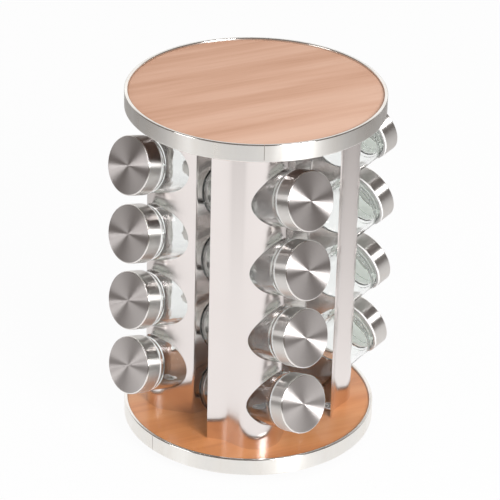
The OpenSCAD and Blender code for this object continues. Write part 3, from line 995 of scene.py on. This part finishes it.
def bent_sheet():
    """The sheet of column a without its holes."""
    piece = single_point(*OUTLINE[0], COLUMN_LOW.z)
    for here, there in zip(OUTLINE, OUTLINE[1:]):
        extrude_by(*(there - here), 0)
    bpy.ops.mesh.select_all(action="SELECT")
    extrude_by(0, 0, COLUMN_HIGH.z - COLUMN_LOW.z)
    bpy.ops.object.mode_set(mode="OBJECT")
    front = min(piece.data.polygons, key=lambda face: face.center.y)
    if front.normal.y > 0:
        piece.data.flip_normals()
    apply_modifier(piece, "SOLIDIFY", thickness=SHEET, offset=-1.0, use_even_offset=True)
    return piece


def hole_cutter(row):
    """A cylinder on the centre line of a jar of column a."""
    clear_selection()
    bpy.ops.mesh.primitive_cylinder_add(vertices=HOLE_SIDES, radius=HOLE_R, depth=HOLE_LEN)
    cutter = bpy.context.object
    cutter.data.transform(LINES[f"a{row}"] @ Matrix.Translation((0, HOLE_LIFT, HOLE_FROM + HOLE_LEN / 2)))
    return cutter


sheet = bent_sheet()
combine(sheet, join([hole_cutter(row) for row in ROWS], "hole_cutters"), "DIFFERENCE")
apply_modifier(sheet, "BEVEL", width=EDGE_BREAK, segments=2, limit_method="ANGLE", angle_limit=BREAK_OVER)
print("sheet with holes:", len(sheet.data.polygons), "faces")

# %% [markdown]
# Each column is held by four tabs, bent inwards at its ends, each with a round end and a hole
# for a screw. A tab is a block and a disc, united, with the hole drilled through both. One
# finished column is then copied to the four sides. Weighted normals keep its flat stretches
# flat in the reflections, although they meet the bends without an edge. The "brushed" UV map
# tells the finish which way is level, so that the grain stands upright.

# %% Tabs, and the four columns
TAB_WIDTH = 9.0 * MM
TAB_LEN = 6.0 * MM
TAB_ON_CURL = 8
TAB_ON_PANEL = 24.0 * MM
SCREW_R = 1.5 * MM
SCREW_FIT = 0.1 * MM
CURL_TAB_WAY = FLANGE_WAY + TAB_ON_CURL - 90
TABS = [
    (CURL + CURL_R * heading(CURL_TAB_WAY), CURL_TAB_WAY),
    (on_panel(TAB_ON_PANEL), PANEL_WAY + 90),
]


def disc(radius, height, sides):
    """An upright cylinder at the round end of a tab, open to further work."""
    clear_selection()
    bpy.ops.mesh.primitive_cylinder_add(vertices=sides, radius=radius, depth=height)
    made = bpy.context.object
    made.data.transform(Matrix.Translation((TAB_LEN, 0, SHEET / 2)))
    return made


def tab_plate(place, way, bottom):
    """A tab that starts in the sheet at place and points along way."""
    reach = TAB_LEN - SHEET / 2
    clear_selection()
    bpy.ops.mesh.primitive_cube_add(size=1)
    plate = bpy.context.object
    block = Matrix.Diagonal((reach, TAB_WIDTH, SHEET, 1))
    plate.data.transform(Matrix.Translation((SHEET / 2 + reach / 2, 0, SHEET / 2)) @ block)
    combine(plate, disc(TAB_WIDTH / 2, SHEET, 64), "UNION")
    combine(plate, disc(SCREW_R + SCREW_FIT, 4 * SHEET, 48), "DIFFERENCE")
    plate.data.transform(Matrix.Translation((*place, bottom)) @ Matrix.Rotation(math.radians(way), 4, "Z"))
    return plate


def add_brushed_map(piece):
    """UV map "brushed": U runs level along the sheet and V runs up it, in metres."""
    layer = piece.data.uv_layers.new(name="brushed")
    for face in piece.data.polygons:
        level = Vector((-face.normal.y, face.normal.x, 0.0))
        if level.length < FLAT:
            level = Vector((1.0, 0.0, 0.0))
        upward = face.normal.cross(level)
        for index in face.loop_indices:
            point = piece.data.vertices[piece.data.loops[index].vertex_index].co
            layer.data[index].uv = (point.dot(level.normalized()), point.dot(upward.normalized()))


def in_hole_wall(face):
    """True for a face of the wall of one of the holes."""
    for row in ROWS:
        centre = LINES[f"a{row}"].inverted() @ face.center - Vector((0, HOLE_LIFT, 0))
        if abs(centre.xy.length - HOLE_R) < 1.2 * EDGE_BREAK:
            return True
    return False


bottoms = (COLUMN_LOW.z, COLUMN_HIGH.z - SHEET)
column_master = join([sheet] + [tab_plate(*tab, z) for tab in TABS for z in bottoms], "column_master")
smooth(column_master, 35)
add_brushed_map(column_master)
dress(column_master, [COLUMN_STEEL, CUT_EDGE], in_hole_wall)
print("faces in the holes' walls:", sum(face.material_index for face in column_master.data.polygons))
for index, code in enumerate(COLUMN_CODES):
    column = copy_of(column_master, f"bent_column_{code}", Matrix.Rotation(index * RIGHT_ANGLE, 4, "Z"))
    install(column, "rack", f"column_{code}")
print("four columns with", len(column_master.data.polygons), "faces each")
bpy.data.objects.remove(column_master)

# %% [markdown]
# A band is a long strip whose edges are rolled over both faces of the board, and whose ends
# meet at a butt seam. Its section is drawn once, as a closed line of points, and spun almost
# all the way round. What is left of the turn is the seam. Rolling polishes the round edges, so
# they mirror the dark room as a thin line under the bright lip.

# %% Bands
BAND_SHEET = 0.8 * MM
LIP_WIDTH = 2.5 * MM
LIP_THICK = 1.5 * MM
LIP_ROUND = 0.9 * MM
SEAM_GAP = 0.3 * MM
SPIN_STEPS = 288
SEAMS = {"top_band": 274, "base_band": 222}


def band_section(outer, bottom, top):
    """Outline of the band's section, in (radius, height)."""
    lip = outer - LIP_WIDTH
    wall = outer - BAND_SHEET
    r = LIP_ROUND
    points = corner(outer - r, bottom + r, r, -90, 0)
    points += corner(outer - r, top - r, r, 0, 90)
    points += corner(lip + r, top - r, r, 90, 180)
    points += [(lip, top - LIP_THICK), (wall, top - LIP_THICK)]
    points += [(wall, bottom + LIP_THICK), (lip, bottom + LIP_THICK)]
    return points + corner(lip + r, bottom + r, r, 180, 270)


def rolled_band(node):
    """A band in the place of a node."""
    low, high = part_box(node)
    section = band_section(high.x, low.z, high.z)
    piece = single_point(section[0][0], 0, section[0][1])
    for here, there in zip(section, section[1:]):
        extrude_by(there[0] - here[0], 0, there[1] - here[1])
    bpy.ops.mesh.select_all(action="SELECT")
    bpy.ops.mesh.edge_face_add()
    bpy.ops.mesh.spin(steps=SPIN_STEPS, angle=TURN - SEAM_GAP / high.x, center=(0, 0, 0), axis=(0, 0, 1))
    bpy.ops.mesh.select_all(action="SELECT")
    bpy.ops.mesh.normals_make_consistent(inside=False)
    bpy.ops.object.mode_set(mode="OBJECT")
    piece.data.transform(Matrix.Rotation(math.radians(SEAMS[node]), 4, "Z"))
    piece.name = f"rolled_{node}"
    smooth(piece, 40)
    add_turned_map(piece)
    dress(piece, [BAND_STEEL, BAND_ROUND], lambda face: STEEP < abs(face.normal.z) < LEVEL)
    return piece


for node in SEAMS:
    band = rolled_band(node)
    install(band, "rack", node)
    print(band.name, len(band.data.polygons), "faces")

# %% [markdown]
# The screws are small pan heads with a cross recess. One screw is turned, the cross is cut into
# its head, and copies go to every tab and under the turning plate. No two real screws stop at
# the same angle, so each copy is turned by chance, from a fixed seed.

# %% Screws
HEAD_R = 2.8 * MM
HEAD_H = 1.4 * MM
HEAD_RIM = 0.6 * MM
SHANK_LEN = 7.0 * MM
RECESS_LEN = 3.0 * MM
RECESS_WIDTH = 0.7 * MM
RECESS_DEPTH = 0.9 * MM
PLATE_SCREWS_AT = 36.0 * MM
PLATE_HEAD_Z = 6.5 * MM


def cross_head_screw():
    """A pan-head screw whose head stands on z = 0, with its shank down."""
    profile = [(0.4 * MM, HEAD_H), (1.2 * MM, HEAD_H), (1.85 * MM, HEAD_H - 0.08 * MM)]
    profile += [(2.4 * MM, HEAD_H - 0.32 * MM), (HEAD_R, HEAD_RIM), (HEAD_R, 0.0)]
    profile += [(SCREW_R, 0.0), (SCREW_R, -SHANK_LEN), (0.3 * MM, -SHANK_LEN)]
    screw = turned("screw_master", profile, sides=32)
    for quarter_turn in (0, 1):
        clear_selection()
        bpy.ops.mesh.primitive_cube_add(size=1)
        cutter = bpy.context.object
        block = Matrix.Diagonal((RECESS_LEN, RECESS_WIDTH, 2 * RECESS_DEPTH, 1))
        turn = Matrix.Rotation(quarter_turn * RIGHT_ANGLE, 4, "Z")
        cutter.data.transform(Matrix.Translation((0, 0, HEAD_H)) @ turn @ block)
        combine(screw, cutter, "DIFFERENCE")
    return screw


UPSIDE_DOWN = Matrix.Rotation(math.pi, 4, "X")
spots = []
for index in range(len(COLUMN_CODES)):
    quarter = Matrix.Rotation(index * RIGHT_ANGLE, 4, "Z")
    for place, way in TABS:
        spot = place + TAB_LEN * heading(way)
        spots.append(quarter @ Matrix.Translation((*spot, COLUMN_LOW.z + SHEET)))
        spots.append(quarter @ Matrix.Translation((*spot, COLUMN_HIGH.z - SHEET)) @ UPSIDE_DOWN)
    diagonal = quarter @ Matrix.Rotation(RIGHT_ANGLE / 2, 4, "Z")
    spots.append(diagonal @ Matrix.Translation((PLATE_SCREWS_AT, 0, PLATE_HEAD_Z)) @ UPSIDE_DOWN)
screw_master = cross_head_screw()
twist = random.Random(3)
copies = []
for number, matrix in enumerate(spots):
    own_turn = Matrix.Rotation(twist.uniform(0, TURN), 4, "Z")
    copies.append(copy_of(screw_master, f"screw_{number}", matrix @ own_turn))
bpy.data.objects.remove(screw_master)
screws = join(copies, "cross_head_screws")
dress(screws, [SCREW_STEEL])
install(screws, "rack", "fixing_screws")
print(len(spots), "screws,", len(screws.data.polygons), "faces")

# %% [markdown]
# The boards and the turntable are already right as they stand in the frame, so they keep their
# solids and only get their finishes.

# %% Finishes for the parts that stay
for node, finish in (
    ("base_board", BASE_VENEER),
    ("top_board", TOP_VENEER),
    ("turning_plate", DARK_PLASTIC),
    ("foot", DARK_PLASTIC),
    ("bearing_balls", BALL_STEEL),
):
    dress(frame["nodes"][node], [finish])
print("fixed parts dressed")
